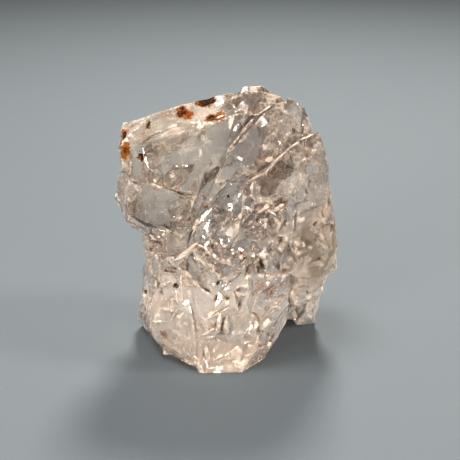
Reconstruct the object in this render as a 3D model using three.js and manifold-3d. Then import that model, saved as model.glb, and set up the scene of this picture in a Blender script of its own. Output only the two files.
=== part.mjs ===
// A clear, faintly smoky quartz specimen: many growth blocks fused into one crystal mass, stepped and
// chipped all over, standing on a flat broken base. Millimetres, +Z up, +X to the right of the best
// face, +Y towards the back. The origin is the middle of the base, under the middle of the mass.
import * as THREE from "three";
import { ConvexGeometry } from "three/addons/geometries/ConvexGeometry.js";
import { mergeVertices } from "three/addons/utils/BufferGeometryUtils.js";
import Module from "manifold-3d";

const wasm = await Module();
wasm.setup();

// ---- Driving dimensions -------------------------------------------------------------------------

const BASE_Z = 0; // the broken base is flat here
const BELOW_BASE = 1; // how far the blocks run below the base before it is cut flat
const STOCK_REACH = 80; // half the width of the tool that cuts the base
const QUARTZ_COLOUR = 0xcdbfb4;
const QUARTZ_ROUGHNESS = 0.12;
const SEED = 7;

// The growth blocks. Each is the convex crystal between its corners, given as [x, y, z]. A block's
// steps are thinner copies of it, each shrunk towards its middle and risen along a direction, which
// leave terraces on the faces that look that way.
const BLOCKS = {
  core: {
    corners: [
      [-15, -6, -BELOW_BASE], [-17, 8, -BELOW_BASE], [9, 12, -BELOW_BASE], [8, -7, -BELOW_BASE],
      [-18.8, -3, 24], [-15.5, -8.5, 25], [9, -9.5, 26], [17, -8, 24], [23, 0, 24], [21, 11, 26],
      [-19, 11, 24], [-21.5, -3, 46], [-18, -7, 45], [13, -8, 48], [19.5, -2, 48], [19, 8, 46],
      [-20, 8, 47], [-12, -6, 53], [7, -5, 56], [9, 6, 56], [-12, 8, 54], [0, 14, 28],
    ],
  },
  keel: {
    corners: [
      [-5.8, -14.6, -BELOW_BASE], [3.1, -14.2, -BELOW_BASE], [8.3, -8, -BELOW_BASE], [12, 0, 3],
      [15, 6, 8], [-8.8, -13.2, 5], [-9.6, -11.8, 22], [-7, -12.2, 27], [4, -13.2, 18],
      [12, -9, 22], [8, -10.5, 30], [-14, 6, -BELOW_BASE], [12, 12, 2], [-12, 10, 32], [10, 10, 32],
    ],
  },
  keel_flank: {
    corners: [
      [3.1, -13.4, 2], [5, -13.6, 12], [7, -12.6, 22], [13, -10, 24], [16, -6, 16], [14, -4, 8],
      [9, -7.5, 1], [6, -2, 4], [6, -2, 22],
    ],
  },
  lower_left: {
    corners: [
      [-18.3, -5, 24], [-8, -12.6, 23], [-6, -13.8, 9], [-17.5, -7, 8], [-16, -4.5, 2],
      [-15, -3, -BELOW_BASE], [-19.6, 2, 19], [-20.3, 2, 12], [-20.9, 6, 3],
      [-21.3, 9, -BELOW_BASE], [-19, 10, 20], [-9, 9, 24], [-9, 9, -BELOW_BASE],
      [-8, -11, -BELOW_BASE],
    ],
  },
  left_lobe: {
    corners: [
      [-24.6, -2, 37], [-24.3, -2, 41], [-23.4, -3, 44], [-22, -7.5, 45], [-22.4, -6, 33.5],
      [-20, -4, 30], [-13, -9.8, 32], [-9, -10.2, 37], [-6, -9.5, 41.5], [-14, -8.4, 29],
      [-20, 6, 31], [-23, 6, 40], [-8, 8, 30], [-8, 8, 46],
    ],
  },
  window: {
    corners: [
      [-22.6, -7.5, 50.5], [-14, -8.5, 52.3], [-5.5, -8.8, 55.6], [1.7, -8, 58], [8, -4, 58.5],
      [-23.1, 1, 53.8], [-16.7, 1, 56.2], [-6.4, 1, 58.9], [0.8, 1, 61.3], [-22.5, -7.5, 45.5],
      [-11.2, -9.4, 41.5], [-3, -9.6, 39.7], [7, -6, 44], [-22.5, 8, 50], [-20, 8, 42],
      [6, 8, 58], [2, 9, 42], [-24, 1, 48],
    ],
  },
  top_cap: {
    corners: [
      [1.5, -4, 59.5], [3.4, -1, 62.5], [7.5, -1, 62.6], [8.7, 0, 61.5], [11.5, 1, 58.4],
      [3.5, -6.5, 57.5], [9, -6, 56.5], [13, 2, 54], [3.4, 6, 61], [8, 7, 60], [11, 8, 56],
      [2, 8, 52], [12, 6, 50], [0, -7, 52],
    ],
  },
  upper_blade: {
    corners: [
      [0.2, -10.2, 50.8], [7.4, -8.2, 58.2], [13.4, -3, 60.5], [15.5, -1.5, 58.2],
      [18.1, -1, 56], [18.6, -2, 53.5], [8, -8.8, 44], [-2.5, -10.4, 44], [14, -7, 48],
      [-2, -4, 42], [6, 3, 56], [13, 5, 57], [18, 5, 52], [8, 5, 44],
    ],
  },
  lower_blade: {
    corners: [
      [2.6, -11.4, 40.3], [5.6, -11.4, 44.9], [13.2, -10, 51], [19.7, -4, 53.2], [20.2, -2, 50],
      [21, -2, 46.7], [22.3, -1, 43], [23.3, 0, 38], [9, -12, 35], [1, -11.6, 34],
      [18, -8.8, 38], [22, -4, 36], [20, 6, 48], [22, 7, 40], [6, 4, 36], [12, 6, 50],
    ],
    steps: { count: 2, shrink: 0.88, rise: [0.6, -0.6, -0.5] },
  },
  right_bulge: {
    corners: [
      [23.2, 0, 39.5], [24.3, 2, 32.5], [25.4, 2, 25], [25.6, 2, 19], [25, 2, 16.3], [22.3, 1, 14],
      [20.6, -6, 38], [22, -6, 27], [20.5, -6, 17], [13, -10.8, 36], [12, -11, 22], [15, -7, 13],
      [24, 9, 34], [25, 9, 24], [23, 9, 15], [8, 8, 36], [8, 8, 14],
    ],
  },
  right_foot: {
    corners: [
      [22.9, 6, 12], [22.3, 7, 7.5], [21.9, 10, -BELOW_BASE], [21, 12, -BELOW_BASE],
      [16.3, 7.5, 2], [17.5, 9, -BELOW_BASE], [15, 2, 12], [14, 0, 18], [22, 2, 17],
      [20, 14, 14], [12, 14, -BELOW_BASE], [10, 12, 14],
    ],
  },
  centre_knot: {
    corners: [
      [-6, -10.6, 31], [-2, -12.6, 27], [5, -12.6, 28], [9, -11.8, 33], [4, -11.8, 38],
      [-3, -11, 38], [-7, -10, 35], [0, -13, 31.5], [-10, -8, 26], [10, -8, 24], [0, 0, 40],
      [0, 0, 24],
    ],
  },
  apex: {
    corners: [
      [-7.2, -13, 30.6], [-13.5, -9.6, 25.5], [-3, -12.8, 25], [-8, -12.8, 22], [-6, -4, 30],
      [-12, -4, 24], [-4, -4, 22],
    ],
  },
  back_slab: {
    corners: [
      [-17, 10, 6], [12, 14, 4], [-18, 11, 44], [10, 14, 50], [-8, 17, 14], [4, 18, 16],
      [-6, 17, 40], [4, 17.5, 38], [-10, 2, 20], [8, 2, 20],
    ],
    steps: { count: 1, shrink: 0.8, rise: [-0.8, 0.8, 0.9] },
  },
  back_blade: {
    corners: [
      [-16, 9, 20], [-6, 15.5, 24], [-19, 9, 34], [-14, 14, 42], [-4, 16, 52], [2, 13, 57],
      [8, 8, 58], [6, 15, 44], [-16, 6, 50], [-2, 4, 50], [0, 4, 24],
    ],
    steps: { count: 2, shrink: 0.88, rise: [-0.6, 0.6, 0.7] },
  },
  back_spur: {
    corners: [
      [14, 8, 12], [22, 8, 20], [20, 15, 18], [12, 17, 16], [20, 14, 36], [11, 16, 34],
      [14, 5, 38], [22, 8, 34], [16, 13, 42],
    ],
  },
};

// The hollows between the blocks, each given by its corners in the same way.
const HOLLOWS = {
  under_lobe: {
    corners: [
      [-21, -13, 32], [-21, -12, 24], [-10, -15, 32], [-9, -15, 25], [-14, -6.8, 29],
      [-12, -8, 27.4], [-17, -5.6, 27],
    ],
  },
  centre: {
    corners: [
      [-3, -16, 40], [11, -16, 43], [13, -16, 33], [-1, -16, 32], [2, -9.8, 37.4], [8, -9.8, 39],
      [7, -9.4, 34.8],
    ],
  },
  under_knot: {
    corners: [
      [1, -17, 29], [12, -16, 31], [14, -15, 24], [3, -17, 21], [6.4, -10, 26.6], [10.5, -8.8, 27.6],
    ],
  },
  flank: {
    corners: [
      [13, -15, 27], [20, -13, 21], [18, -13, 8], [11, -15, 5], [14.6, -6.4, 20], [14, -5.4, 11],
    ],
  },
  window_foot: {
    corners: [
      [-23, -12, 45], [-6, -14, 43], [-3, -14, 38], [-10, -14, 37], [-21, -7, 43.4],
      [-9, -7.8, 40.6], [-5, -8.4, 40],
    ],
  },
  back_cleft: {
    corners: [
      [10, 20, 50], [14, 20, 10], [6, 20, 8], [4, 20, 46], [9, 11, 38], [9.6, 11.6, 18],
    ],
  },
};

// Shards grown on the mass and flakes broken off it. Each zone is the surface within reach of its
// centre. Lengths run along the growth axis, and stray is how far they turn from it. A shard's sink
// is the share of its half width below the surface, and a flake's depth is how far its hollow dips.
const SHARDS = [
  {
    centre: [2, -12, 31], reach: 12, count: 16,
    length: [6, 12], width: [3, 5.5], sink: [0.55, 0.95], stray: 0.7,
  },
  {
    centre: [-3, -13, 13], reach: 13, count: 9,
    length: [8, 14], width: [2.5, 4.5], sink: [0.65, 0.95], stray: 0.9,
  },
  {
    centre: [-2, 15, 30], reach: 17, count: 8,
    length: [10, 20], width: [5, 9], sink: [0.7, 0.95], stray: 0.5,
  },
];
const FLAKES = [
  {
    centre: [1, -12, 32], reach: 15, count: 34,
    length: [5, 13], width: [3, 8], depth: [0.8, 2], stray: 0.8,
  },
  {
    centre: [-4, -12, 11], reach: 16, count: 44,
    length: [6, 16], width: [4, 9], depth: [0.8, 2.2], stray: 0.8,
  },
  {
    centre: [11, -7, 50], reach: 12, count: 18,
    length: [5, 12], width: [2, 5], depth: [0.6, 1.4], stray: 0.3,
  },
  {
    centre: [-13, -8, 48], reach: 11, count: 6,
    length: [6, 14], width: [4, 9], depth: [0.4, 1], stray: 1,
  },
  {
    centre: [-19, -3, 33], reach: 10, count: 12,
    length: [4, 9], width: [3, 6], depth: [0.6, 1.4], stray: 1,
  },
  {
    centre: [21, -2, 27], reach: 14, count: 20,
    length: [6, 13], width: [4, 9], depth: [0.5, 1.4], stray: 1,
  },
  {
    centre: [0, 16, 30], reach: 32, count: 64,
    length: [8, 22], width: [5, 12], depth: [1, 3], stray: 0.6,
  },
];
const C_AXIS = new THREE.Vector3(0.62, -0.15, 0.77).normalize(); // the way the blades point
const UP = new THREE.Vector3(0, 1, 0); // the long way of a shard before it is laid along its axis
const SLIVER_CORNERS = 9;
const LOWEST_CHIP = 3; // no shard or flake is seated lower than this, so the base keeps its rim
const SMALLEST_STEP = 0.05; // ledges lower than this are smoothed away
const WELD = 1e-4; // corners closer than this are one corner

// ---- Repeatable scatter -------------------------------------------------------------------------

// A small seeded generator, so that the chips fall in the same places each time.
function seeded(seed) {
  let state = seed >>> 0;
  return () => {
    state = (state + 0x6d2b79f5) >>> 0;
    let t = Math.imul(state ^ (state >>> 15), 1 | state);
    t = (t + Math.imul(t ^ (t >>> 7), 61 | t)) ^ t;
    return ((t ^ (t >>> 14)) >>> 0) / 4294967296;
  };
}

const random = seeded(SEED);
const between = ([low, high]) => low + (high - low) * random();

// ---- Solids -------------------------------------------------------------------------------------

// A closed three.js geometry as a manifold-3d solid.
function solidOf(geometry) {
  const bare = geometry.index ? geometry.toNonIndexed() : geometry.clone();
  bare.deleteAttribute("normal");
  bare.deleteAttribute("uv");
  const merged = mergeVertices(bare, WELD);
  return new wasm.Manifold(
    new wasm.Mesh({
      numProp: 3,
      vertProperties: new Float32Array(merged.attributes.position.array),
      triVerts: new Uint32Array(merged.index.array),
    }),
  );
}

// A manifold-3d solid as a flat-shaded three.js geometry.
function geometryOf(solid) {
  const mesh = solid.getMesh();
  const geometry = new THREE.BufferGeometry();
  geometry.setAttribute("position", new THREE.BufferAttribute(mesh.vertProperties, mesh.numProp));
  geometry.setIndex(new THREE.BufferAttribute(mesh.triVerts, 1));
  return geometry.toNonIndexed();
}

// One growth block with its terraces.
function growthBlock({ corners, steps }) {
  const points = corners.map((corner) => new THREE.Vector3(...corner));
  let block = solidOf(new ConvexGeometry(points));
  if (!steps) return block;
  const middle = points.reduce((sum, p) => sum.add(p), new THREE.Vector3());
  middle.divideScalar(points.length);
  const rise = new THREE.Vector3(...steps.rise);
  for (let k = 1; k <= steps.count; k++) {
    const shrink = steps.shrink ** k;
    const terrace = points.map((p) =>
      p.clone().sub(middle).multiplyScalar(shrink).add(middle).addScaledVector(rise, k),
    );
    block = block.add(solidOf(new ConvexGeometry(terrace)));
  }
  return block;
}

// ---- Shards and flakes ---------------------------------------------------------------------------

// The triangles of a solid that come within a zone.
function patch(solid, { centre, reach }) {
  const { vertProperties, triVerts } = solid.getMesh();
  const middle = new THREE.Vector3(...centre);
  const corner = (i) => new THREE.Vector3().fromArray(vertProperties, 3 * triVerts[i]);
  const found = [];
  for (let i = 0; i < triVerts.length; i += 3) {
    const triangle = new THREE.Triangle(corner(i), corner(i + 1), corner(i + 2));
    const nearest = triangle.closestPointToPoint(middle, new THREE.Vector3());
    if (nearest.distanceTo(middle) < reach) found.push({ triangle, area: triangle.getArea() });
  }
  return found;
}

// A random place in a zone of the surface, with the direction that the surface faces there.
function placeOn(found, zone) {
  let left = random() * found.reduce((sum, { area }) => sum + area, 0);
  const { triangle } = found.find(({ area }) => (left -= area) <= 0) ?? found[0];
  const [u, v] = [random(), random()];
  const [s, t] = u + v > 1 ? [1 - u, 1 - v] : [u, v];
  const point = triangle.a.clone();
  point.addScaledVector(triangle.b.clone().sub(triangle.a), s);
  point.addScaledVector(triangle.c.clone().sub(triangle.a), t);
  const inside = point.distanceTo(new THREE.Vector3(...zone.centre)) < zone.reach;
  if (!inside || point.z < LOWEST_CHIP) return placeOn(found, zone);
  return { point, normal: triangle.getNormal(new THREE.Vector3()) };
}

// A random direction.
function anyDirection() {
  return new THREE.Vector3(random() - 0.5, random() - 0.5, random() - 0.5).normalize();
}

// An angular sliver of crystal between random corners, its long way along +Y.
function sliver(length, thick, width) {
  const half = new THREE.Vector3(thick, length, width).multiplyScalar(0.5);
  const corners = Array.from({ length: SLIVER_CORNERS }, () => anyDirection().multiply(half));
  return new ConvexGeometry(corners);
}

// A shard that stands out of the surface along the growth axis.
function shard({ point, normal }, { length, width, sink, stray }) {
  const wide = between(width);
  const solid = sliver(between(length), wide, wide);
  const along = C_AXIS.clone().addScaledVector(anyDirection(), stray * random()).normalize();
  solid.applyQuaternion(new THREE.Quaternion().setFromUnitVectors(UP, along));
  const seat = point.clone().addScaledVector(normal, (-wide / 2) * between(sink));
  return solidOf(solid.translate(seat.x, seat.y, seat.z));
}

// The hollow that a flake leaves where it breaks off: a few flat facets that dip below the surface.
function flake({ point, normal }, { length, width, depth, stray }) {
  const deep = between(depth);
  const solid = sliver(between(length), 4 * deep, between(width));
  const along = C_AXIS.clone().addScaledVector(anyDirection(), stray).projectOnPlane(normal).normalize();
  const across = new THREE.Vector3().crossVectors(normal, along);
  solid.applyMatrix4(new THREE.Matrix4().makeBasis(normal, along, across));
  const seat = point.clone().addScaledVector(normal, deep);
  return solidOf(solid.translate(seat.x, seat.y, seat.z));
}

// Makes count features over a zone of the solid's surface and joins them into one tool.
function scatter(solid, zone, make) {
  const found = patch(solid, zone);
  const made = Array.from({ length: zone.count }, () => make(placeOn(found, zone), zone));
  return made.reduce((a, b) => a.add(b));
}

let crystal = Object.values(BLOCKS).map(growthBlock).reduce((a, b) => a.add(b));
for (const hollow of Object.values(HOLLOWS)) crystal = crystal.subtract(growthBlock(hollow));
for (const zone of SHARDS) crystal = crystal.add(scatter(crystal, zone, shard));
for (const zone of FLAKES) crystal = crystal.subtract(scatter(crystal, zone, flake));

const under = new THREE.BoxGeometry(2 * STOCK_REACH, 2 * STOCK_REACH, STOCK_REACH);
under.translate(0, 0, BASE_Z - STOCK_REACH / 2);
crystal = crystal.subtract(solidOf(under)).simplify(SMALLEST_STEP);
// A splinter that the chips cut free falls away.
crystal = crystal.decompose().reduce((a, b) => (b.volume() > a.volume() ? b : a));

// The mass is moved so that the origin is under its middle.
const geometry = geometryOf(crystal);
geometry.computeBoundingBox();
const middle = geometry.boundingBox.getCenter(new THREE.Vector3());
geometry.translate(-middle.x, -middle.y, 0);

const quartz = new THREE.Mesh(
  geometry,
  new THREE.MeshStandardMaterial({ color: QUARTZ_COLOUR, roughness: QUARTZ_ROUGHNESS }),
);
quartz.name = "quartz_crystal";

const specimen = new THREE.Group();
specimen.add(quartz);
export default specimen;
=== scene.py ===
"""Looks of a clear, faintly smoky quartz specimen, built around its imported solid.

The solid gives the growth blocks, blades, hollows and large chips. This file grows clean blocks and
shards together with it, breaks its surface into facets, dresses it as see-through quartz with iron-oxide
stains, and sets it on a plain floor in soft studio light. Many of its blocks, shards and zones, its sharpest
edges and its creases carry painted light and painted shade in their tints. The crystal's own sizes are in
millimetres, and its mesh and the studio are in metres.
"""

import logging
import math
from dataclasses import dataclass
from enum import Enum

import bmesh
import bpy
from mathutils import Euler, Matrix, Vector


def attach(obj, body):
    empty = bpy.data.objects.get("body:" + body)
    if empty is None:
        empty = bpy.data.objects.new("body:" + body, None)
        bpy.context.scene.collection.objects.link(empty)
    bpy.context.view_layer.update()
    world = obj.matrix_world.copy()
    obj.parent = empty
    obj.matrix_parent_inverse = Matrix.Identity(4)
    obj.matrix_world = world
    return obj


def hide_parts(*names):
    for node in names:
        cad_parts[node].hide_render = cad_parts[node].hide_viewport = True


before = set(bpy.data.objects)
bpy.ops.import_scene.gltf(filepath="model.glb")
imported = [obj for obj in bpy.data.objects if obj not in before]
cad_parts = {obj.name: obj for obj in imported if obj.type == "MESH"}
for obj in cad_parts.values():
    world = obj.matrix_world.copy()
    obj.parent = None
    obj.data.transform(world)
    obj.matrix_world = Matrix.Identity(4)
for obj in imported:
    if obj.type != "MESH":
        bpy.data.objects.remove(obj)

MM = 0.001
BODY = "root"
DEEP_BOUNCES = 32
GLOSSY_BOUNCES = 16

log = logging.getLogger("quartz")


# ---- Small helpers ---------------------------------------------------------------------------------


def linear(colour: str) -> tuple[float, float, float, float]:
    """Turns an sRGB hex colour into a linear one.

    Args:
        colour: six hex digits after a hash sign.

    Returns:
        Red, green and blue in linear light, and an alpha of one.
    """
    parts = [int(colour[i : i + 2], 16) / 255 for i in (1, 3, 5)]
    red, green, blue = [c / 12.92 if c <= 0.04045 else ((c + 0.055) / 1.055) ** 2.4 for c in parts]
    return red, green, blue, 1.0


def add_node(tree: bpy.types.NodeTree, kind: str, inputs: dict | None = None, **settings) -> bpy.types.Node:
    """Adds a node to a tree with its settings and links.

    Args:
        tree: the node tree that gets it.
        kind: the node's type name.
        inputs: for a socket's name or place, a value to set or an output socket to link.
        settings: properties of the node itself.

    Returns:
        The new node.
    """
    node = tree.nodes.new(kind)
    for name, value in settings.items():
        setattr(node, name, value)
    for key, value in (inputs or {}).items():
        if isinstance(value, bpy.types.NodeSocket):
            tree.links.new(value, node.inputs[key])
        else:
            node.inputs[key].default_value = value
    return node


def only(piece: bpy.types.Object) -> None:
    """Makes one object the active and the only selected one."""
    bpy.ops.object.select_all(action="DESELECT")
    piece.select_set(True)
    bpy.context.view_layer.objects.active = piece


# ---- Crystal ---------------------------------------------------------------------------------------


@dataclass(frozen=True)
class Zone:
    """A ball of space, in millimetres, that fades out over the outer share of its reach."""

    centre: tuple[float, float, float]
    reach: float
    fade: float = 0.5


WINDOW = Zone((-12, -10, 48), 17)
CAP = Zone((6, -4, 61), 10)
BLADES = Zone((11, -10, 47), 15)
LOBE = Zone((-18, -9, 38), 11)
FLANK = Zone((21, -7, 28), 14)
LOWER_LEFT = Zone((-13, -12, 13), 13)
LOWER = Zone((-4, -15, 9), 21)
FOOT = Zone((17, 2, 10), 17, 0.6)
LOW_BACK = Zone((2, 20, 16), 30, 0.6)
SPARKLE = Zone((12.5, -6.5, 56), 6.5)
# Where a white patch near the top is painted as a highlight.
GLARE_PATCH = Zone((-4.5, -6, 58.5), 6)
BEVEL = Zone((-20, -5, 53), 8)
WAIST = Zone((-15, -8, 28), 9)
CENTRE = Zone((2, -12, 36), 9)
CONTOURS = Zone((16.5, -9, 44.5), 7)
UPPER_BLADE = Zone((5, -9, 52), 9)
HEART = Zone((1, -12, 34), 11)


class Growth(Enum):
    """The tone of a part of the crystal: clear quartz, brown patches, a darker grey-brown and a darker one
    still that are painted shade, and a pale cream that is painted light.
    """

    CLEAR = 0
    SMOKY = 1
    DARK = 2
    BROWN = 3
    LIT = 4


@dataclass(frozen=True)
class Quartz:
    """How one tone of quartz passes light: its tint, and how clear its surface is. The shaded tones' tints
    are painted shade, and the lit tone's tint is painted light.
    """

    tint: str
    clearness: float


# The two darker grey-brown tints are painted shade, and the pale cream one with the less clear surface is
# painted light.
QUARTZ = {
    Growth.CLEAR: Quartz("#ebe2da", 0.87),
    Growth.SMOKY: Quartz("#998c84", 0.88),
    Growth.DARK: Quartz("#74675f", 0.90),
    Growth.BROWN: Quartz("#563a2a", 0.55),
    Growth.LIT: Quartz("#fff1e6", 0.50),
}


@dataclass(frozen=True)
class Block:
    """A growth block with clean faces: the convex crystal between twelve corners, in millimetres."""

    name: str
    growth: Growth
    corners: tuple[tuple[float, float, float], ...]


@dataclass(frozen=True)
class Shard:
    """A small facetted shard: its middle and half widths in millimetres, and its turn in degrees."""

    growth: Growth
    centre: tuple[float, float, float]
    half: tuple[float, float, float]
    turn: tuple[float, float, float] = (0, 0, 0)


# The blades and the left lobe have a darker grey-brown tint and the cap a darker one still: painted shade.
# The lower left has a pale cream tint with a less clear surface: painted light.
BLOCKS = (
    Block(
        "upper blade", Growth.SMOKY,
        (
            (-0.5, -11.3, 50.3), (2.2, -10.7, 54.6), (5.2, -9.7, 57.8), (8.8, -7.4, 59.6),
            (12.9, -4.7, 60.3), (17.6, -3.0, 56.0), (18.1, -3.9, 53.0), (-2.6, -11.9, 44.5),
            (7.5, -10.8, 44.0), (13.5, -9.0, 48.0), (0.0, -4.0, 42.0), (6.0, 1.0, 56.0),
        ),
    ),
    Block(
        "lower blade", Growth.SMOKY,
        (
            (3.0, -12.2, 43.6), (7.7, -13.7, 47.2), (11.9, -12.6, 51.2), (14.8, -9.9, 52.7),
            (19.2, -5.7, 53.2), (20.2, -4.0, 46.7), (21.5, -3.0, 41.5), (21.8, -1.8, 38.5),
            (2.0, -11.8, 38.0), (9.0, -12.8, 37.0), (17.0, -10.0, 39.0), (8.0, 2.0, 42.0),
        ),
    ),
    Block(
        "cap", Growth.DARK,
        (
            (0.6, -4.6, 60.5), (3.0, -4.8, 61.7), (7.4, -4.2, 61.8), (10.9, -3.2, 60.4),
            (12.0, -4.9, 58.6), (1.0, -8.0, 57.6), (5.0, -8.6, 57.8), (9.4, -7.6, 58.2),
            (2.9, 3.5, 61.0), (7.5, 4.5, 60.2), (10.5, 4.0, 57.0), (1.0, 2.0, 54.0),
        ),
    ),
    Block(
        "left lobe", Growth.SMOKY,
        (
            (-24.0, -6.0, 43.0), (-17.0, -11.0, 43.9), (-11.5, -12.0, 41.8), (-7.5, -11.5, 39.6),
            (-24.6, -4.2, 39.0), (-22.6, -8.6, 35.8), (-16.9, -11.6, 34.6), (-9.5, -11.2, 33.6),
            (-20.7, -6.2, 31.2), (-14.0, -9.2, 30.5), (-20.4, 4.0, 32.4), (-23.2, 4.0, 40.0),
        ),
    ),
    Block(
        "lower left", Growth.LIT,
        (
            (-18.8, -5.5, 23.0), (-14.5, -10.8, 21.4), (-9.3, -12.4, 22.6), (-8.3, -15.4, 14.7),
            (-7.5, -15.9, 5.0), (-13.5, -12.8, 9.5), (-18.5, -8.6, 7.0), (-19.8, -4.5, 13.0),
            (-16.5, -6.5, 1.5), (-8.0, -14.5, 1.0), (-14.0, 2.0, 20.0), (-10.0, -2.0, 3.0),
        ),
    ),
)


def ridge(
    growth: Growth, start: tuple[float, float, float], end: tuple[float, float, float], half: float = 0.35
) -> Shard:
    """Draws a shard out thin between two points.

    Args:
        growth: its tone; a grey-brown shard is painted shade and a pale cream one painted light.
        start: one end, in millimetres.
        end: the other end, in millimetres.
        half: half its thickness, in millimetres.

    Returns:
        The thin shard.
    """
    run = Vector(end) - Vector(start)
    turn = tuple(math.degrees(angle) for angle in run.to_track_quat("Z", "Y").to_euler())
    return Shard(growth, tuple((Vector(start) + Vector(end)) / 2), (half, half, run.length / 2), turn)


# The pale cream shards and ridges are painted light: highlights along the blade ridges and the keel, glints
# and lit facets. The grey-brown ones are painted shade on facets. The brown ones are brown patches and
# outlines.
SHARDS = (
    Shard(Growth.BROWN, (6.4, -13.9, 29.4), (2.3, 1.6, 0.9), (0, 10, 0)),
    Shard(Growth.BROWN, (7.5, -8.2, 23.2), (1.3, 1.5, 1.2), (0, 30, 0)),
    Shard(Growth.BROWN, (-0.2, -15.4, 12.0), (0.8, 1.1, 2.7), (0, 4, 0)),
    Shard(Growth.BROWN, (-6.6, -13.2, 28.2), (1.1, 1.2, 1.6), (0, 0, 0)),
    Shard(Growth.SMOKY, (-1.7, -9.6, 24.8), (2.8, 1.6, 2.0), (0, -20, 0)),
    Shard(Growth.SMOKY, (8.0, -13.0, 10.1), (1.2, 1.5, 2.2), (0, 25, 0)),
    Shard(Growth.SMOKY, (7.5, -12.6, 38.0), (0.9, 1.2, 3.0), (-11, 45, 0)),
    Shard(Growth.SMOKY, (2.3, -11.2, 35.5), (0.9, 1.5, 3.2), (-11, 20, 0)),
    Shard(Growth.CLEAR, (6.0, -12.8, 33.0), (1.0, 1.3, 3.0), (-11, 50, 0)),
    Shard(Growth.LIT, (4.4, -12.4, 38.5), (0.8, 1.3, 3.4), (-11, 35, 0)),
    Shard(Growth.BROWN, (10.5, -12.2, 38.5), (0.7, 1.1, 2.8), (-11, 52, 0)),
    Shard(Growth.SMOKY, (0.2, -11.8, 35.0), (0.8, 1.4, 3.2), (-11, 5, 0)),
    Shard(Growth.LIT, (-2.2, -15.3, 12.2), (0.9, 1.1, 2.9), (0, 5, 0)),
    Shard(Growth.LIT, (-12.1, -10.6, 45.1), (1.5, 1.0, 1.6), (0, 15, 0)),
    Shard(Growth.LIT, (-9.8, -12.4, 28.3), (0.8, 1.2, 3.9), (0, 47, 0)),
    Shard(Growth.LIT, (-3.2, -13.0, 28.2), (0.8, 1.3, 4.8), (0, -56, 0)),
    Shard(Growth.LIT, (19.6, 5.2, 6.2), (1.3, 1.2, 2.6), (0, 20, 0)),
    Shard(Growth.LIT, (16.6, 9.0, 2.4), (1.5, 1.4, 2.0), (0, -15, 0)),
    # Pale lines along the ridges of the blades: painted edge highlights.
    ridge(Growth.LIT, (-0.5, -11.4, 50.3), (2.2, -10.8, 54.6), 0.3),
    ridge(Growth.LIT, (2.0, -10.8, 54.2), (5.2, -9.8, 57.8), 0.3),
    ridge(Growth.LIT, (5.0, -9.8, 57.6), (9.0, -7.4, 59.6), 0.25),
    ridge(Growth.LIT, (3.4, -12.2, 43.9), (7.8, -13.7, 47.2), 0.25),
    ridge(Growth.LIT, (7.6, -13.7, 47.1), (11.8, -12.6, 51.1), 0.28),
    ridge(Growth.LIT, (11.5, -12.6, 50.9), (14.9, -9.8, 52.7), 0.25),
    ridge(Growth.LIT, (14.6, -10.0, 52.6), (18.4, -6.3, 53.1), 0.2),
    ridge(Growth.LIT, (-9.0, -11.2, 41.9), (-2.0, -10.7, 40.2), 0.3),
    ridge(Growth.LIT, (-10.6, -12.9, 23.0), (-9.8, -14.1, 15.8), 0.45),
    ridge(Growth.LIT, (-9.8, -14.0, 16.2), (-9.4, -14.9, 10.0), 0.45),
    ridge(Growth.LIT, (-9.5, -14.8, 10.4), (-7.4, -15.8, 3.0), 0.45),
    ridge(Growth.LIT, (2.3, -15.2, 10.9), (4.9, -14.1, 12.6), 0.45),
    ridge(Growth.LIT, (1.7, -15.3, 8.9), (4.2, -14.4, 10.2), 0.35),
    ridge(Growth.LIT, (0.5, -15.6, 5.0), (4.5, -14.5, 7.0), 0.5),
    ridge(Growth.LIT, (-3.5, -15.9, 6.5), (-3.8, -15.9, 2.0), 0.35),
    ridge(Growth.SMOKY, (-5.4, -15.8, 7.4), (-5.0, -15.8, 2.0), 0.7),
    ridge(Growth.BROWN, (-16.2, -9.1, 21.6), (-11.1, -12.3, 22.4), 0.45),
    ridge(Growth.BROWN, (-15.0, -11.2, 15.8), (-11.8, -13.1, 16.6), 0.42),
    ridge(Growth.BROWN, (-18.1, -8.8, 9.6), (-13.8, -12.4, 11.0), 0.36),
    ridge(Growth.BROWN, (-13.8, -12.4, 11.0), (-11.5, -13.4, 15.0), 0.36),
    ridge(Growth.SMOKY, (-17.2, -8.5, 20.6), (-15.0, -10.8, 16.4), 0.55),
    ridge(Growth.LIT, (-16.4, -9.4, 18.3), (-13.3, -11.8, 20.3), 0.63),
    ridge(Growth.LIT, (-15.8, -10.4, 13.4), (-12.2, -13.1, 13.9), 0.6),
    ridge(Growth.SMOKY, (-12.4, -12.3, 19.8), (-11.4, -13.4, 15.6), 0.5),
    ridge(Growth.SMOKY, (-6.8, -14.9, 13.8), (-4.4, -15.0, 10.0), 0.9),
    ridge(Growth.BROWN, (-6.4, -15.5, 9.8), (-3.2, -15.6, 11.6), 0.35),
    ridge(Growth.BROWN, (-0.3, -15.5, 7.7), (4.9, -13.9, 9.4), 0.5),
    ridge(Growth.BROWN, (3.0, -14.9, 3.2), (7.0, -12.5, 5.6), 0.3),
)


@dataclass(frozen=True)
class Facets:
    """One size of facet that the surface broke or grew into.

    The longest edge is across the grain and the corners' shift is in any direction, both in
    millimetres. Along the grain an edge may be longer by the stretch. Each zone multiplies the shift.
    """

    longest: float
    stretch: float
    shift: float
    zones: tuple[tuple[Zone, float], ...] = ()


GROWTH_AXIS = Euler((math.radians(-11), math.radians(39), 0))
BASE_FADE = (0.3, 2.5)

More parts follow.
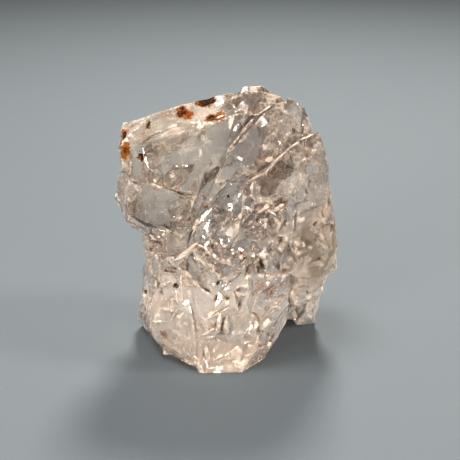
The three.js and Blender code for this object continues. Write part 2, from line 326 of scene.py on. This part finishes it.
FACETS = (
    Facets(
        5.0, 1.6, 0.8,
        (
            (WINDOW, 0.12), (CAP, 0.2), (BLADES, 0.15), (LOBE, 0.2), (FLANK, 0.3), (LOWER_LEFT, 0.7),
            (LOWER, 0.8), (LOW_BACK, 1.7),
        ),
    ),
    Facets(
        2.6, 2.4, 0.30,
        (
            (WINDOW, 0.2), (CAP, 0.25), (BLADES, 0.25), (LOBE, 0.5), (FLANK, 0.4), (SPARKLE, 2.0),
            (CENTRE, 1.5), (LOWER_LEFT, 0.4), (LOWER, 0.7), (FOOT, 1.6), (LOW_BACK, 1.3),
        ),
    ),
    Facets(
        1.25, 2.0, 0.09,
        (
            (WINDOW, 0.3), (CAP, 0.4), (BLADES, 0.6), (FLANK, 1.0), (SPARKLE, 4.0), (LOWER_LEFT, 0.5),
            (LOWER, 0.6), (FOOT, 2.5),
        ),
    ),
    Facets(0.8, 1.2, 0.015, ((FLANK, 5.0),)),
)


@dataclass
class CrystalMass:
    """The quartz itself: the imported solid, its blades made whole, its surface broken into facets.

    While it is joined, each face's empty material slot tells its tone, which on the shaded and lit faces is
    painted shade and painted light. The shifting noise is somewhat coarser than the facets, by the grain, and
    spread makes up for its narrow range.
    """

    node: str = "quartz_crystal"
    weld: float = 0.001 * MM
    rounds: int = 6
    grain: float = 1.1
    spread: float = 4.0
    step: float = 7.3

    def build(self) -> bpy.types.Object:
        """Makes the finished mass in place of its node.

        Returns:
            The new piece.
        """
        piece = self.copy_of_node()
        for _ in Growth:
            piece.data.materials.append(None)
        for block in BLOCKS:
            self.join(piece, self.hull(block), block.growth)
        for shard in SHARDS:
            self.join(piece, self.sliver(shard), shard.growth)
        for place, facets in enumerate(FACETS):
            self.split(piece, facets)
            self.shift(piece, facets, place)
        self.record(piece)
        return piece

    def copy_of_node(self) -> bpy.types.Object:
        """Copies the node's mesh and joins its loose triangles."""
        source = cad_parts[self.node]
        mesh = source.data.copy()
        mesh.materials.clear()
        piece = bpy.data.objects.new("quartz_mass", mesh)
        bpy.context.scene.collection.objects.link(piece)
        only(piece)
        bpy.ops.object.mode_set(mode="EDIT")
        bpy.ops.mesh.select_all(action="SELECT")
        bpy.ops.mesh.remove_doubles(threshold=self.weld)
        bpy.ops.object.mode_set(mode="OBJECT")
        return piece

    def hull(self, block: Block) -> bpy.types.Object:
        """Pulls the twelve corners of a ball to a block's corners and closes their convex hull.

        Args:
            block: the growth block.

        Returns:
            The block as an object of its own.
        """
        bpy.ops.object.select_all(action="DESELECT")
        bpy.ops.mesh.primitive_ico_sphere_add(subdivisions=1, radius=MM)
        piece = bpy.context.object
        piece.name = block.name
        bpy.ops.object.mode_set(mode="EDIT")
        shape = bmesh.from_edit_mesh(piece.data)
        for vertex, corner in zip(shape.verts, block.corners):
            vertex.co = Vector(corner) * MM
        bmesh.update_edit_mesh(piece.data)
        bpy.ops.mesh.select_all(action="SELECT")
        bpy.ops.mesh.delete(type="EDGE_FACE")
        bpy.ops.mesh.select_all(action="SELECT")
        bpy.ops.mesh.convex_hull(join_triangles=False)
        bpy.ops.mesh.normals_make_consistent(inside=False)
        bpy.ops.object.mode_set(mode="OBJECT")
        return piece

    def sliver(self, shard: Shard) -> bpy.types.Object:
        """Squashes a ball of twenty faces into a shard and lays it in its place.

        Args:
            shard: the shard.

        Returns:
            The shard as an object of its own.
        """
        bpy.ops.object.select_all(action="DESELECT")
        bpy.ops.mesh.primitive_ico_sphere_add(
            subdivisions=1, radius=MM, location=Vector(shard.centre) * MM,
            rotation=[math.radians(angle) for angle in shard.turn], scale=shard.half,
        )
        piece = bpy.context.object
        bpy.ops.object.transform_apply(location=True, rotation=True, scale=True)
        return piece

    def join(self, piece: bpy.types.Object, block: bpy.types.Object, growth: Growth) -> None:
        """Grows a block together with the mass, and takes the loose block away.

        Args:
            piece: the mass.
            block: the loose block.
            growth: the block's tone; the darker blocks are painted shade and the pale cream one painted
                light.
        """
        for _ in Growth:
            block.data.materials.append(None)
        for polygon in block.data.polygons:
            polygon.material_index = growth.value
        only(piece)
        modifier = piece.modifiers.new("grown together", "BOOLEAN")
        modifier.operation = "UNION"
        modifier.solver = "EXACT"
        modifier.object = block
        bpy.ops.object.modifier_apply(modifier=modifier.name)
        bpy.data.objects.remove(block, do_unlink=True)
        bpy.ops.object.mode_set(mode="EDIT")
        bpy.ops.mesh.select_all(action="SELECT")
        bpy.ops.mesh.quads_convert_to_tris(quad_method="SHORTEST_DIAGONAL")
        bpy.ops.mesh.remove_doubles(threshold=self.weld)
        bpy.ops.object.mode_set(mode="OBJECT")

    def split(self, piece: bpy.types.Object, facets: Facets) -> None:
        """Splits each edge that is too long, measured shorter along the growth axis.

        Args:
            piece: the mass.
            facets: the size of the facets.
        """
        across = GROWTH_AXIS.to_matrix().transposed()
        only(piece)
        bpy.ops.object.mode_set(mode="EDIT")
        bpy.ops.mesh.select_mode(type="EDGE")
        for _ in range(self.rounds):
            shape = bmesh.from_edit_mesh(piece.data)
            long_edges = []
            for edge in shape.edges:
                run = across @ (edge.verts[1].co - edge.verts[0].co)
                run.z /= facets.stretch
                if run.length > facets.longest * MM:
                    long_edges.append(edge)
            bpy.ops.mesh.select_all(action="DESELECT")
            for edge in long_edges:
                edge.select_set(True)
            bmesh.update_edit_mesh(piece.data)
            bpy.ops.mesh.subdivide(number_cuts=1)
            bpy.ops.mesh.select_all(action="SELECT")
            bpy.ops.mesh.quads_convert_to_tris(quad_method="SHORTEST_DIAGONAL")
        bpy.ops.object.mode_set(mode="OBJECT")

    def shift(self, piece: bpy.types.Object, facets: Facets, place: int) -> None:
        """Moves the corners by a noise about as coarse as the facets, so that each facet tilts.

        Args:
            piece: the mass.
            facets: the size and strength of the facets.
            place: the place of this size among the sizes, which sets its own part of the noise.
        """
        tree = bpy.data.node_groups.new("shifted corners", "GeometryNodeTree")
        tree.interface.new_socket("Geometry", in_out="INPUT", socket_type="NodeSocketGeometry")
        tree.interface.new_socket("Geometry", in_out="OUTPUT", socket_type="NodeSocketGeometry")
        shape = add_node(tree, "NodeGroupInput").outputs["Geometry"]
        point = add_node(tree, "GeometryNodeInputPosition").outputs[0]
        turned = add_node(
            tree, "ShaderNodeVectorRotate",
            {"Vector": point, "Rotation": GROWTH_AXIS.to_matrix().transposed().to_euler()},
            rotation_type="EULER_XYZ",
        )
        away = add_node(
            tree, "ShaderNodeVectorMath",
            {0: turned.outputs[0], 1: (1, 1, 1 / facets.stretch), 2: (self.step * place, 0, 0)},
            operation="MULTIPLY_ADD",
        )
        noise = add_node(
            tree, "ShaderNodeTexNoise",
            {"Vector": away.outputs[0], "Scale": 1 / (self.grain * facets.longest * MM), "Detail": 0.0},
        )
        middle = add_node(
            tree, "ShaderNodeVectorMath", {0: noise.outputs["Color"], 1: (0.5, 0.5, 0.5)},
            operation="SUBTRACT",
        )
        amount = add_node(
            tree, "ShaderNodeMath", {0: self.mask(tree, point, facets), 1: self.spread * facets.shift * MM},
            operation="MULTIPLY",
        )
        offset = add_node(
            tree, "ShaderNodeVectorMath", {0: middle.outputs[0], "Scale": amount.outputs[0]},
            operation="SCALE",
        )
        moved = add_node(tree, "GeometryNodeSetPosition", {"Geometry": shape, "Offset": offset.outputs[0]})
        add_node(tree, "NodeGroupOutput", {"Geometry": moved.outputs[0]})
        only(piece)
        modifier = piece.modifiers.new("shifted corners", "NODES")
        modifier.node_group = tree
        bpy.ops.object.modifier_apply(modifier=modifier.name)

    def mask(
        self, tree: bpy.types.NodeTree, point: bpy.types.NodeSocket, facets: Facets
    ) -> bpy.types.NodeSocket:
        """Weakens the facets at the base and in each zone.

        Args:
            tree: the geometry-nodes tree.
            point: the position of each corner.
            facets: the facets that are masked.

        Returns:
            The strength at each corner.
        """
        low, high = (z * MM for z in BASE_FADE)
        up = add_node(tree, "ShaderNodeSeparateXYZ", {0: point})
        shown = add_node(
            tree, "ShaderNodeMapRange", {"Value": up.outputs["Z"], "From Min": low, "From Max": high},
            interpolation_type="SMOOTHSTEP",
        ).outputs[0]
        for zone, strength in facets.zones:
            centre = tuple(c * MM for c in zone.centre)
            far = add_node(tree, "ShaderNodeVectorMath", {0: point, 1: centre}, operation="DISTANCE")
            near = add_node(
                tree, "ShaderNodeMapRange",
                {
                    "Value": far.outputs["Value"], "From Min": zone.reach * (1 - zone.fade) * MM,
                    "From Max": zone.reach * MM, "To Min": strength, "To Max": 1.0,
                },
                interpolation_type="SMOOTHSTEP",
            ).outputs[0]
            shown = add_node(tree, "ShaderNodeMath", {0: shown, 1: near}, operation="MULTIPLY").outputs[0]
        return shown

    def record(self, piece: bpy.types.Object) -> None:
        """Writes each face's tint and clearness, painted shade and painted light on the shaded and lit faces,
        to the mesh and dresses it in the one quartz.

        Args:
            piece: the mass, with each face's growth as its material's place.
        """
        mesh = piece.data
        grown = [QUARTZ[Growth(polygon.material_index)] for polygon in mesh.polygons]
        tint = mesh.attributes.new("tint", "FLOAT_VECTOR", "FACE")
        tint.data.foreach_set("vector", [part for quartz in grown for part in linear(quartz.tint)[:3]])
        clearness = mesh.attributes.new("clearness", "FLOAT", "FACE")
        clearness.data.foreach_set("value", [quartz.clearness for quartz in grown])
        mesh.materials.clear()
        mesh.materials.append(SmokyQuartz().material())


# ---- Finishes --------------------------------------------------------------------------------------


@dataclass(frozen=True)
class Stain:
    """Iron oxide that seeped into a crack: its middle, its half widths in millimetres, its ripeness.

    A ripe stain has a core of dark ore, and an unripe one is a thin rusty film. A weak stain lets
    the quartz show through.
    """

    centre: tuple[float, float, float]
    size: tuple[float, float, float]
    ripe: float = 1.0
    strength: float = 1.0


STAINS = (
    Stain((-22.9, -4.6, 52.8), (0.9, 2.2, 1.8), 0.6),
    Stain((-22.2, -9.0, 50.4), (1.0, 2.2, 2.6), 0.3),
    Stain((-18.6, -9.9, 49.3), (0.9, 1.3, 1.2), 1.0),
    Stain((-17.6, -3.8, 54.6), (0.5, 2.2, 0.8), 1.0),
    Stain((-14.0, -2.3, 56.4), (0.8, 1.4, 0.7), 0.4, 0.6),
    Stain((-10.4, -3.2, 57.2), (1.4, 2.7, 1.6), 0.9),
    Stain((-9.0, -4.8, 56.9), (1.3, 2.0, 1.2), 0.2),
    Stain((-5.3, -2.2, 59.3), (2.5, 2.4, 1.7), 0.95),
    Stain((-4.0, -8.0, 57.2), (1.2, 1.8, 1.0), 0.9),
    Stain((-2.3, -8.4, 57.4), (1.5, 1.8, 1.0), 0.3),
    Stain((4.4, -5.2, 60.0), (0.8, 0.8, 0.6), 0.4, 0.5),
    Stain((-15.2, -11.3, 7.1), (1.2, 1.3, 1.2), 0.3, 0.7),
    Stain((-5.3, -9.8, 38.1), (0.9, 0.8, 0.5), 0.4, 0.8),
    Stain((9.0, -12.8, 19.2), (1.6, 1.4, 1.8), 0.0, 0.6),
    Stain((7.1, -14.1, 20.8), (1.3, 1.2, 1.2), 0.0, 0.5),
    Stain((2.5, -14.4, 29.0), (0.6, 0.9, 0.6), 0.2, 0.8),
    Stain((-2.5, -13.8, 21.3), (0.7, 0.7, 0.6), 1.8),
    Stain((-19.3, -5.1, 15.0), (0.6, 0.7, 0.6), 1.8),
    Stain((-11.9, -12.3, 19.9), (0.7, 0.7, 0.5), 1.6),
    Stain((-0.3, -9.5, 39.9), (0.6, 0.9, 0.5), 1.6),
    Stain((-2.1, -14.2, 17.9), (1.3, 0.9, 0.6), 0.9),
)


@dataclass(frozen=True)
class Cloud:
    """A part of the crystal with a haze, frost or tint of its own; some tints are painted shade and some
    painted light.
    """

    zone: Zone
    tint: str
    clearness: float
    roughness: float


# The darker tints on the cap, the upper blade and the heart are painted shade. The cream tints low down and
# at the foot are painted light, and the white patch near the top is a painted highlight. The window's haze
# and the flank's frost are the quartz's own.
CLOUDS = (
    Cloud(WINDOW, "#dacfc1", 0.84, 0.08),
    Cloud(GLARE_PATCH, "#efe4d6", 0.74, 0.08),
    Cloud(LOWER, "#fff1e4", 0.70, 0.04),
    Cloud(FOOT, "#fffaf2", 0.32, 0.08),
    Cloud(CAP, "#83766c", 0.82, 0.22),
    Cloud(UPPER_BLADE, "#ab9c95", 0.80, 0.06),
    Cloud(HEART, "#b0a7a1", 0.82, 0.03),
    Cloud(FLANK, "#958675", 0.34, 0.42),
)


@dataclass(frozen=True)
class SmokyQuartz:
    """Quartz, faintly smoky, broken and etched in the ground: glassy facets, hazy and frosted in places.

    The clean breaks are clear and glossy. Healed cracks at the surface blur what lies behind them, and the
    rounded flank is frosted by fine etching.
    The sharpest convex edges are painted pale cream as highlights, and the creases are painted darker brown
    as shade.
    """

    ior: float = 1.544
    gloss: float = 0.02
    absorbed: str = "#e2cfba"
    density: float = 8.0
    within: str = "#fffaf5"
    # Pale cream of the veils, also used for the painted highlights on the sharpest edges.
    veil_and_highlight: str = "#f6e6d6"
    veiled: float = 0.72
    blur: float = 0.40
    # Painted shade: the creases are painted this darker brown and made less clear.
    crease_shade: str = "#5e4a3a"
    crease_shade_clearness: float = 0.35
    # Painted highlight: how clear the sharpest edges stay where they are painted pale.
    highlight_clearness: float = 0.12
    rust: str = "#a5590f"
    rusty: float = 0.55
    ore: str = "#1c0a03"
    crust: float = 0.06
    ragged: float = 3.6
    crumb: float = 0.9
    uneven: float = 5.0
    film_at: tuple[float, float] = (0.85, 1.05)
    core_at: tuple[float, float] = (0.05, -0.1)
    drift: float = 9.0
    patch: float = 4.0
    highlight_break: float = 2.0
    highlight_break_at: tuple[float, float] = (0.40, 0.56)
    highlight_at: tuple[float, float] = (0.514, 0.56)
    crease_shade_at: tuple[float, float] = (0.488, 0.44)
    veil_at: tuple[float, float] = (0.50, 0.66)
    line_spacing: float = 0.5
    line_length: float = 3.5
    line_height: float = 0.01
    etched_height: float = 0.04
    etched: tuple[Zone, ...] = (BEVEL, WAIST, CENTRE)
    contour_spacing: float = 1.5
    contour_height: float = 0.05
    contour_middle: tuple[float, float, float] = (26, -8, 52)
    contour_drift: tuple[float, float] = (6.0, 3.0)
    clouds: tuple[Cloud, ...] = CLOUDS
    stains: tuple[Stain, ...] = STAINS

    def material(self) -> bpy.types.Material:
        """Makes the material.

        Returns:
            The material, with its patterns on Object coordinates in millimetres.
        """
        material = bpy.data.materials.new("smoky quartz, broken and etched")
        material.use_nodes = True
        tree = material.node_tree
        tree.nodes.clear()
        metres = add_node(tree, "ShaderNodeTexCoord").outputs["Object"]
        place = add_node(
            tree, "ShaderNodeVectorMath", {0: metres, "Scale": 1 / MM}, operation="SCALE"
        ).outputs[0]
        surface = add_node(tree, "ShaderNodeNewGeometry").outputs
        drifting = self.warped(tree, place, self.drift, self.drift)
        veil = self.veil(tree, place)
        # Painted highlight: the sharpest convex edges turn pale cream, broken up in patches.
        edges = add_node(
            tree, "ShaderNodeMapRange",
            {"Value": surface["Pointiness"], "From Min": self.highlight_at[0], "From Max": self.highlight_at[1]},
        )
        highlit_edges = add_node(
            tree, "ShaderNodeMath", {0: edges.outputs[0], 1: self.highlight_breaks(tree, place)}, operation="MULTIPLY"
        ).outputs[0]
        # Painted shade: the concave creases turn darker brown.
        grooves = add_node(
            tree, "ShaderNodeMapRange",
            {"Value": surface["Pointiness"], "From Min": self.crease_shade_at[0], "From Max": self.crease_shade_at[1]},
        ).outputs[0]
        film, core = self.iron(tree, place)
        layers = [
            (self.near(tree, drifting, cloud.zone), cloud.tint, cloud.clearness, cloud.roughness)
            for cloud in self.clouds
        ]
        layers += [
            (veil, self.veil_and_highlight, self.veiled, self.blur),
            # painted shade in the creases
            (grooves, self.crease_shade, self.crease_shade_clearness, self.blur),
            # painted highlight on the sharpest edges
            (highlit_edges, self.veil_and_highlight, self.highlight_clearness, self.blur),
            (surface["Backfacing"], self.within, 1.0, self.gloss),
            (film, self.rust, self.rusty, self.gloss),
            (core, self.ore, 0.0, self.crust),
        ]
        colour = add_node(tree, "ShaderNodeAttribute", attribute_name="tint").outputs["Vector"]
        clearness = add_node(tree, "ShaderNodeAttribute", attribute_name="clearness").outputs["Fac"]
        rough = self.gloss
        for share, tint, clear, dull in layers:
            colour = add_node(
                tree, "ShaderNodeMix", {"Factor": share, "A": colour, "B": linear(tint)}, data_type="RGBA"
            ).outputs["Result"]
            clearness = add_node(
                tree, "ShaderNodeMix", {"Factor": share, "A": clearness, "B": clear}
            ).outputs["Result"]
            rough = add_node(
                tree, "ShaderNodeMix", {"Factor": share, "A": rough, "B": dull}
            ).outputs["Result"]
        body = add_node(
            tree, "ShaderNodeBsdfPrincipled",
            {
                "Base Color": colour, "Roughness": rough, "IOR": self.ior, "Transmission Weight": clearness,
                "Normal": self.relief(tree, place),
            },
        )
        smoke = add_node(
            tree, "ShaderNodeVolumeAbsorption", {"Color": linear(self.absorbed), "Density": self.density}
        )
        add_node(tree, "ShaderNodeOutputMaterial", {"Surface": body.outputs[0], "Volume": smoke.outputs[0]})
        return material

    def warped(
        self, tree: bpy.types.NodeTree, place: bpy.types.NodeSocket, size: float, reach: float
    ) -> bpy.types.NodeSocket:
        """Moves a place by a noise, so that edges wander.

        Args:
            tree: the material's node tree.
            place: the position in millimetres.
            size: how coarse the noise is, in millimetres.
            reach: how far it moves a place, in millimetres.

        Returns:
            The moved place.
        """
        noise = add_node(
            tree, "ShaderNodeTexNoise", {"Vector": place, "Scale": 1 / size, "Detail": 4.0, "Roughness": 0.7}
        )
        middle = add_node(
            tree, "ShaderNodeVectorMath", {0: noise.outputs["Color"], 1: (0.5, 0.5, 0.5)},
            operation="SUBTRACT",
        )
        spread = add_node(
            tree, "ShaderNodeVectorMath", {0: middle.outputs[0], "Scale": reach}, operation="SCALE"
        )
        return add_node(
            tree, "ShaderNodeVectorMath", {0: place, 1: spread.outputs[0]}, operation="ADD"
        ).outputs[0]

    def near(
        self, tree: bpy.types.NodeTree, place: bpy.types.NodeSocket, zone: Zone
    ) -> bpy.types.NodeSocket:
        """A mask that is one in the middle of a zone and fades to nothing at its reach."""
        far = add_node(tree, "ShaderNodeVectorMath", {0: place, 1: zone.centre}, operation="DISTANCE")
        return add_node(
            tree, "ShaderNodeMapRange",
            {
                "Value": far.outputs["Value"], "From Min": zone.reach,
                "From Max": zone.reach * (1 - zone.fade),
            },
        ).outputs[0]

    def iron(
        self, tree: bpy.types.NodeTree, place: bpy.types.NodeSocket
    ) -> tuple[bpy.types.NodeSocket, bpy.types.NodeSocket]:
        """Masks the iron oxide.

        Args:
            tree: the material's node tree.
            place: the position in millimetres.

        Returns:
            The mask of the rusty film, and that of the dark ore in the middle of it.
        """
        ragged = self.warped(tree, place, self.crumb, self.ragged)
        patches = add_node(
            tree, "ShaderNodeTexNoise",
            {"Vector": ragged, "Scale": 1 / self.crumb, "Detail": 2.0, "Roughness": 0.6},
        )
        uneven = add_node(
            tree, "ShaderNodeMath",
            {0: patches.outputs["Fac"], 1: self.uneven, 2: -self.uneven / 2}, operation="MULTIPLY_ADD",
        ).outputs[0]
        film = core = 0.0
        for stain in self.stains:
            off = add_node(tree, "ShaderNodeVectorMath", {0: ragged, 1: stain.centre}, operation="SUBTRACT")
            reach = add_node(
                tree, "ShaderNodeVectorMath", {0: off.outputs[0], 1: stain.size}, operation="DIVIDE"
            )
            far = add_node(tree, "ShaderNodeVectorMath", {0: reach.outputs[0]}, operation="LENGTH")
            edge = add_node(
                tree, "ShaderNodeMapRange",
                {
                    "Value": far.outputs["Value"], "From Min": self.film_at[0], "From Max": self.film_at[1],
                    "To Min": stain.strength, "To Max": 0.0,
                },
            ).outputs[0]
            inner = add_node(
                tree, "ShaderNodeMath", {0: far.outputs["Value"], 1: uneven}, operation="ADD"
            ).outputs[0]
            ripe = add_node(
                tree, "ShaderNodeMapRange",
                {
                    "Value": inner, "From Min": stain.ripe + self.core_at[0],
                    "From Max": stain.ripe + self.core_at[1],
                },
            ).outputs[0]
            film = add_node(tree, "ShaderNodeMath", {0: film, 1: edge}, operation="MAXIMUM").outputs[0]
            core = add_node(tree, "ShaderNodeMath", {0: core, 1: ripe}, operation="MAXIMUM").outputs[0]
        core = add_node(tree, "ShaderNodeMath", {0: film, 1: core}, operation="MINIMUM").outputs[0]
        return film, core

    def highlight_breaks(self, tree: bpy.types.NodeTree, place: bpy.types.NodeSocket) -> bpy.types.NodeSocket:
        """Where the painted highlight on an edge comes and goes, every couple of millimetres."""
        patches = add_node(
            tree, "ShaderNodeTexNoise",
            {"Vector": place, "Scale": 1 / self.highlight_break, "Detail": 3.0, "Roughness": 0.7},
        )
        return add_node(
            tree, "ShaderNodeMapRange",
            {"Value": patches.outputs["Fac"], "From Min": self.highlight_break_at[0], "From Max": self.highlight_break_at[1]},
        ).outputs[0]

    def veil(self, tree: bpy.types.NodeTree, place: bpy.types.NodeSocket) -> bpy.types.NodeSocket:
        """Pale veils: patches a few millimetres wide, broken up to grains of a tenth of one."""
        patches = add_node(
            tree, "ShaderNodeTexNoise",
            {"Vector": place, "Scale": 1 / self.patch, "Detail": 5.0, "Roughness": 0.72, "Distortion": 0.6},
        )
        return add_node(
            tree, "ShaderNodeMapRange",
            {"Value": patches.outputs["Fac"], "From Min": self.veil_at[0], "From Max": self.veil_at[1]},
        ).outputs[0]

    def relief(self, tree: bpy.types.NodeTree, place: bpy.types.NodeSocket) -> bpy.types.NodeSocket:
        """Fine growth lines, drawn out along the growth axis, and the etched contours of a blade.

        Args:
            tree: the material's node tree.
            place: the position in millimetres.

        Returns:
            The normal of the surface with its relief.
        """
        turned = add_node(
            tree, "ShaderNodeVectorRotate",
            {"Vector": place, "Rotation": GROWTH_AXIS.to_matrix().transposed().to_euler()},
            rotation_type="EULER_XYZ",
        )
        across, along = 1 / self.line_spacing, 1 / self.line_length
        drawn = add_node(
            tree, "ShaderNodeVectorMath", {0: turned.outputs[0], 1: (across, across, along)},
            operation="MULTIPLY",
        )
        lines = add_node(
            tree, "ShaderNodeTexNoise", {"Vector": drawn.outputs[0], "Scale": 1.0, "Detail": 1.0}
        )
        height = self.line_height
        for zone in self.etched:
            height = add_node(
                tree, "ShaderNodeMix",
                {"Factor": self.near(tree, place, zone), "A": height, "B": self.etched_height},
            ).outputs["Result"]
        away = add_node(
            tree, "ShaderNodeVectorMath",
            {0: self.warped(tree, place, *self.contour_drift), 1: self.contour_middle}, operation="DISTANCE",
        )
        steps = add_node(
            tree, "ShaderNodeMath", {0: away.outputs["Value"], 1: self.contour_spacing}, operation="DIVIDE"
        )
        saw = add_node(tree, "ShaderNodeMath", {0: steps.outputs[0]}, operation="FRACT")
        contours = add_node(
            tree, "ShaderNodeMath",
            {0: saw.outputs[0], 1: self.near(tree, place, CONTOURS)}, operation="MULTIPLY",
        )
        grown = add_node(
            tree, "ShaderNodeMath", {0: lines.outputs["Fac"], 1: height}, operation="MULTIPLY"
        )
        both = add_node(
            tree, "ShaderNodeMath",
            {0: contours.outputs[0], 1: self.contour_height, 2: grown.outputs[0]}, operation="MULTIPLY_ADD",
        )
        return add_node(tree, "ShaderNodeBump", {"Height": both.outputs[0], "Distance": MM}).outputs[0]


@dataclass(frozen=True)
class PaintedBoard:
    """A blue-grey painted board: rolled and sanded paint, which scatters light evenly, without a gloss."""

    colour: str = "#5b646b"
    roughness: float = 0.8
    sheen: float = 0.2

    def material(self) -> bpy.types.Material:
        """Makes the material."""
        material = bpy.data.materials.new("matt painted board")
        material.use_nodes = True
        shader = material.node_tree.nodes["Principled BSDF"]
        shader.inputs["Base Color"].default_value = linear(self.colour)
        shader.inputs["Roughness"].default_value = self.roughness
        shader.inputs["Specular IOR Level"].default_value = self.sheen
        return material


# ---- Studio ----------------------------------------------------------------------------------------


@dataclass(frozen=True)
class Lamp:
    """A round soft light: its place and width in metres, its power in watts and its colour."""

    name: str
    place: tuple[float, float, float]
    size: float
    power: float
    colour: str


LAMPS = (
    Lamp("back light", (0.06, 0.36, 0.54), 0.16, 6.6, "#fff4e6"),
    Lamp("top light", (-0.12, -0.06, 0.60), 0.20, 2.9, "#fff6ee"),
    Lamp("raking light", (0.38, -0.06, 0.34), 0.10, 1.4, "#fff2e6"),
    Lamp("low light", (-0.30, -0.36, 0.12), 0.10, 1.4, "#fff2e6"),
    Lamp("fill light", (0.26, -0.40, 0.07), 0.08, 0.7, "#fff6ee"),
)


@dataclass
class Studio:
    """The floor, the light and the camera."""

    target: Vector = Vector((0.1, -1.6, 29.0)) * MM
    distance: float = 205 * MM
    elevation: float = 22.0
    lens: float = 70.0
    nearest: float = 10 * MM
    floor_half: float = 6.0
    floor_gap: float = 0.2 * MM
    room_front: str = "#16110e"
    room_back: str = "#4a4440"
    room_at: tuple[float, float] = (-0.9, 0.9)
    ceiling: tuple[float, float, float] = (0.30, 0.27, 0.24)
    ceiling_at: tuple[float, float] = (0.15, 0.8)

    def build(self) -> None:
        """Makes everything that isn't part of the specimen."""
        self.camera()
        self.floor()
        self.lights()
        self.world()

    def camera(self) -> None:
        """Places the camera in front of the best face, looking down at it."""
        data = bpy.data.cameras.new("camera")
        data.lens = self.lens
        data.clip_start = self.nearest
        camera = bpy.data.objects.new("camera", data)
        bpy.context.scene.collection.objects.link(camera)
        tilt = math.radians(self.elevation)
        away = Vector((0, -math.cos(tilt), math.sin(tilt)))
        camera.location = self.target + away * self.distance
        camera.rotation_euler = (math.radians(90) - tilt, 0, 0)
        bpy.context.scene.camera = camera

    def floor(self) -> None:
        """Lays the board that the specimen stands on."""
        bpy.ops.object.select_all(action="DESELECT")
        bpy.ops.mesh.primitive_plane_add(size=1)
        board = bpy.context.object
        board.name = "board"
        board.scale = (2 * self.floor_half, 2 * self.floor_half, 1)
        board.location = (0, 0, -self.floor_gap)
        bpy.ops.object.transform_apply(location=True, rotation=True, scale=True)
        board.data.materials.append(PaintedBoard().material())

    def lights(self) -> None:
        """Hangs a strong soft light behind, one overhead, and weak ones at the sides and in front."""
        for lamp in LAMPS:
            data = bpy.data.lights.new(lamp.name, "AREA")
            data.shape = "DISK"
            data.size = lamp.size
            data.energy = lamp.power
            data.color = linear(lamp.colour)[:3]
            light = bpy.data.objects.new(lamp.name, data)
            bpy.context.scene.collection.objects.link(light)
            light.location = lamp.place
            light.rotation_euler = (self.target - Vector(lamp.place)).to_track_quat("-Z", "Y").to_euler()

    def world(self) -> None:
        """Makes a plain room, pale overhead and behind, and dim and warm in front."""
        world = bpy.data.worlds.new("pale room")
        bpy.context.scene.world = world
        world.use_nodes = True
        tree = world.node_tree
        tree.nodes.clear()
        way = add_node(tree, "ShaderNodeTexCoord").outputs["Generated"]
        parts = add_node(tree, "ShaderNodeSeparateXYZ", {0: way})
        low, high = self.room_at
        back = add_node(
            tree, "ShaderNodeMapRange", {"Value": parts.outputs["Y"], "From Min": low, "From Max": high}
        )
        low, high = self.ceiling_at
        above = add_node(
            tree, "ShaderNodeMapRange", {"Value": parts.outputs["Z"], "From Min": low, "From Max": high},
            interpolation_type="SMOOTHSTEP",
        )
        room = add_node(
            tree, "ShaderNodeMix",
            {"Factor": back.outputs[0], "A": linear(self.room_front), "B": linear(self.room_back)},
            data_type="RGBA",
        )
        ceiling = add_node(
            tree, "ShaderNodeVectorMath", {0: self.ceiling, "Scale": above.outputs[0]}, operation="SCALE"
        )
        both = add_node(
            tree, "ShaderNodeVectorMath", {0: room.outputs["Result"], 1: ceiling.outputs[0]}, operation="ADD"
        )
        shade = add_node(tree, "ShaderNodeBackground", {"Color": both.outputs[0]})
        add_node(tree, "ShaderNodeOutputWorld", {"Surface": shade.outputs[0]})


# ---- Putting it together ---------------------------------------------------------------------------


def main() -> None:
    """Builds the studio and the specimen, and reports each piece."""
    logging.basicConfig(level=logging.INFO, format="%(name)s: %(message)s")
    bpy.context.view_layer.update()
    Studio().build()
    mass = CrystalMass()
    piece = mass.build()
    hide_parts(mass.node)
    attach(piece, BODY)
    log.info("%s: %d faces", piece.name, len(piece.data.polygons))
    scene = bpy.context.scene
    scene.view_settings.view_transform = "Standard"
    scene.view_settings.look = "Medium High Contrast"
    scene.cycles.max_bounces = DEEP_BOUNCES
    scene.cycles.transmission_bounces = DEEP_BOUNCES
    scene.cycles.glossy_bounces = GLOSSY_BOUNCES


if __name__ == "__main__":
    main()
